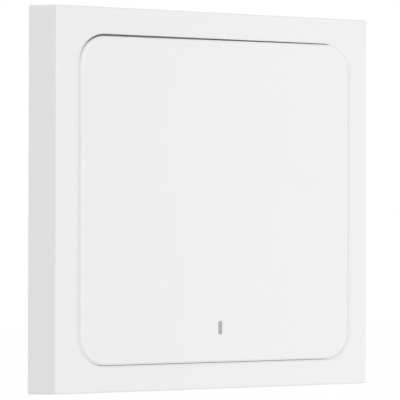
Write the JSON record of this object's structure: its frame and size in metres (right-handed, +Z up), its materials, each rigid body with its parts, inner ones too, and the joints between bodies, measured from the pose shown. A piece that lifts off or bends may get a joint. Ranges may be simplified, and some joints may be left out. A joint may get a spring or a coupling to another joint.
{
  "type": "smart light switch",
  "caption": "Flat square battery-powered wireless light switch for a wall: drafted cover frame, top-hinged rounded key with a slot-shaped indicator light, clip-on wall plate.",
  "frame": {"origin": "centre of the wall plate's back face, midway between its two screw slots, in the plane of the wall", "axes": "+X to the right as seen from the front, +Y into the wall (the key faces -Y), +Z up"},
  "size_m": [0.086, 0.0122, 0.086],
  "materials": {
    "white_cover": "fine satin spark-eroded texture",
    "white_key": "fine satin spark-eroded texture",
    "indicator_lens": "smoky clear, satin front",
    "module_plastic": "satin moulded",
    "plate_plastic": "satin moulded",
    "soft_silicone": "matt, slightly translucent",
    "foam_tape": "closed-cell foam with release paper",
    "zinc_screw": "zinc plated",
    "board_green": "solder mask",
    "switch_black": "moulded",
    "switch_stem": "moulded",
    "spring_steel": "stamped sheet",
    "tinned_copper": "tinned",
    "cell_steel": "drawn, nickel plated",
    "shield_tin": "tinned sheet",
    "chip_black": "moulded epoxy",
    "ceramic_white": "fired ceramic",
    "ceramic_tan": "fired ceramic",
    "tantalum_yellow": "moulded epoxy",
    "led_epoxy": "clear epoxy"
  },
  "bodies": {
    "housing": {"cover_frame": "white_cover", "chassis": "module_plastic", "chassis_screws": "zinc_screw", "key_buffer_pads": "soft_silicone", "base_tray": "module_plastic", "wall_plate": "plate_plastic", "adhesive_pads": "foam_tape", "circuit_board": "board_green", "main_switch_base": "switch_black", "main_switch_dome": "spring_steel", "main_switch_cover": "spring_steel", "main_switch_leads": "tinned_copper", "pairing_switch_base": "switch_black", "pairing_switch_dome": "spring_steel", "pairing_switch_cover": "spring_steel", "indicator_led": "led_epoxy", "light_guide": "ceramic_white", "coin_cell": "cell_steel", "battery_positive_clips": "spring_steel", "battery_negative_spring": "spring_steel", "radio_module_board": "board_green", "radio_shield_can": "shield_tin", "radio_chip": "chip_black", "radio_crystal": "shield_tin", "radio_antenna": "ceramic_white", "ceramic_capacitors": "ceramic_tan", "chip_resistors": "chip_black", "reservoir_capacitor": "tantalum_yellow"},
    "key": {"key_plate": "white_key", "indicator_lens": "indicator_lens", "push_pad": "soft_silicone"},
    "switch_button": {"main_switch_plunger": "switch_stem"},
    "pairing_button": {"pairing_switch_plunger": "switch_stem"}
  },
  "joints": [
    {"name": "key_press", "type": "hinge", "parent": "housing", "child": "key", "pos_m": [0, -0.0078, 0.033], "axis": [1, 0, 0], "range_deg": [0, 0.75], "stiffness_Nm_per_rad": 5, "springref_deg": -0.57},
    {"name": "main_switch_press", "type": "slide", "parent": "housing", "child": "switch_button", "axis": [0, 1, 0], "range_m": [0, 0.00045], "deforming": ["main_switch_dome"]},
    {"name": "pairing_switch_press", "type": "slide", "parent": "housing", "child": "pairing_button", "axis": [0, 1, 0], "range_m": [0, 0.00025], "stiffness_N_per_m": 500, "springref_m": -0.0003, "deforming": ["pairing_switch_dome"]}
  ],
  "couplings": [
    {"joint": "main_switch_press", "follows": "key_press", "m_per_rad": 0.033}
  ]
}
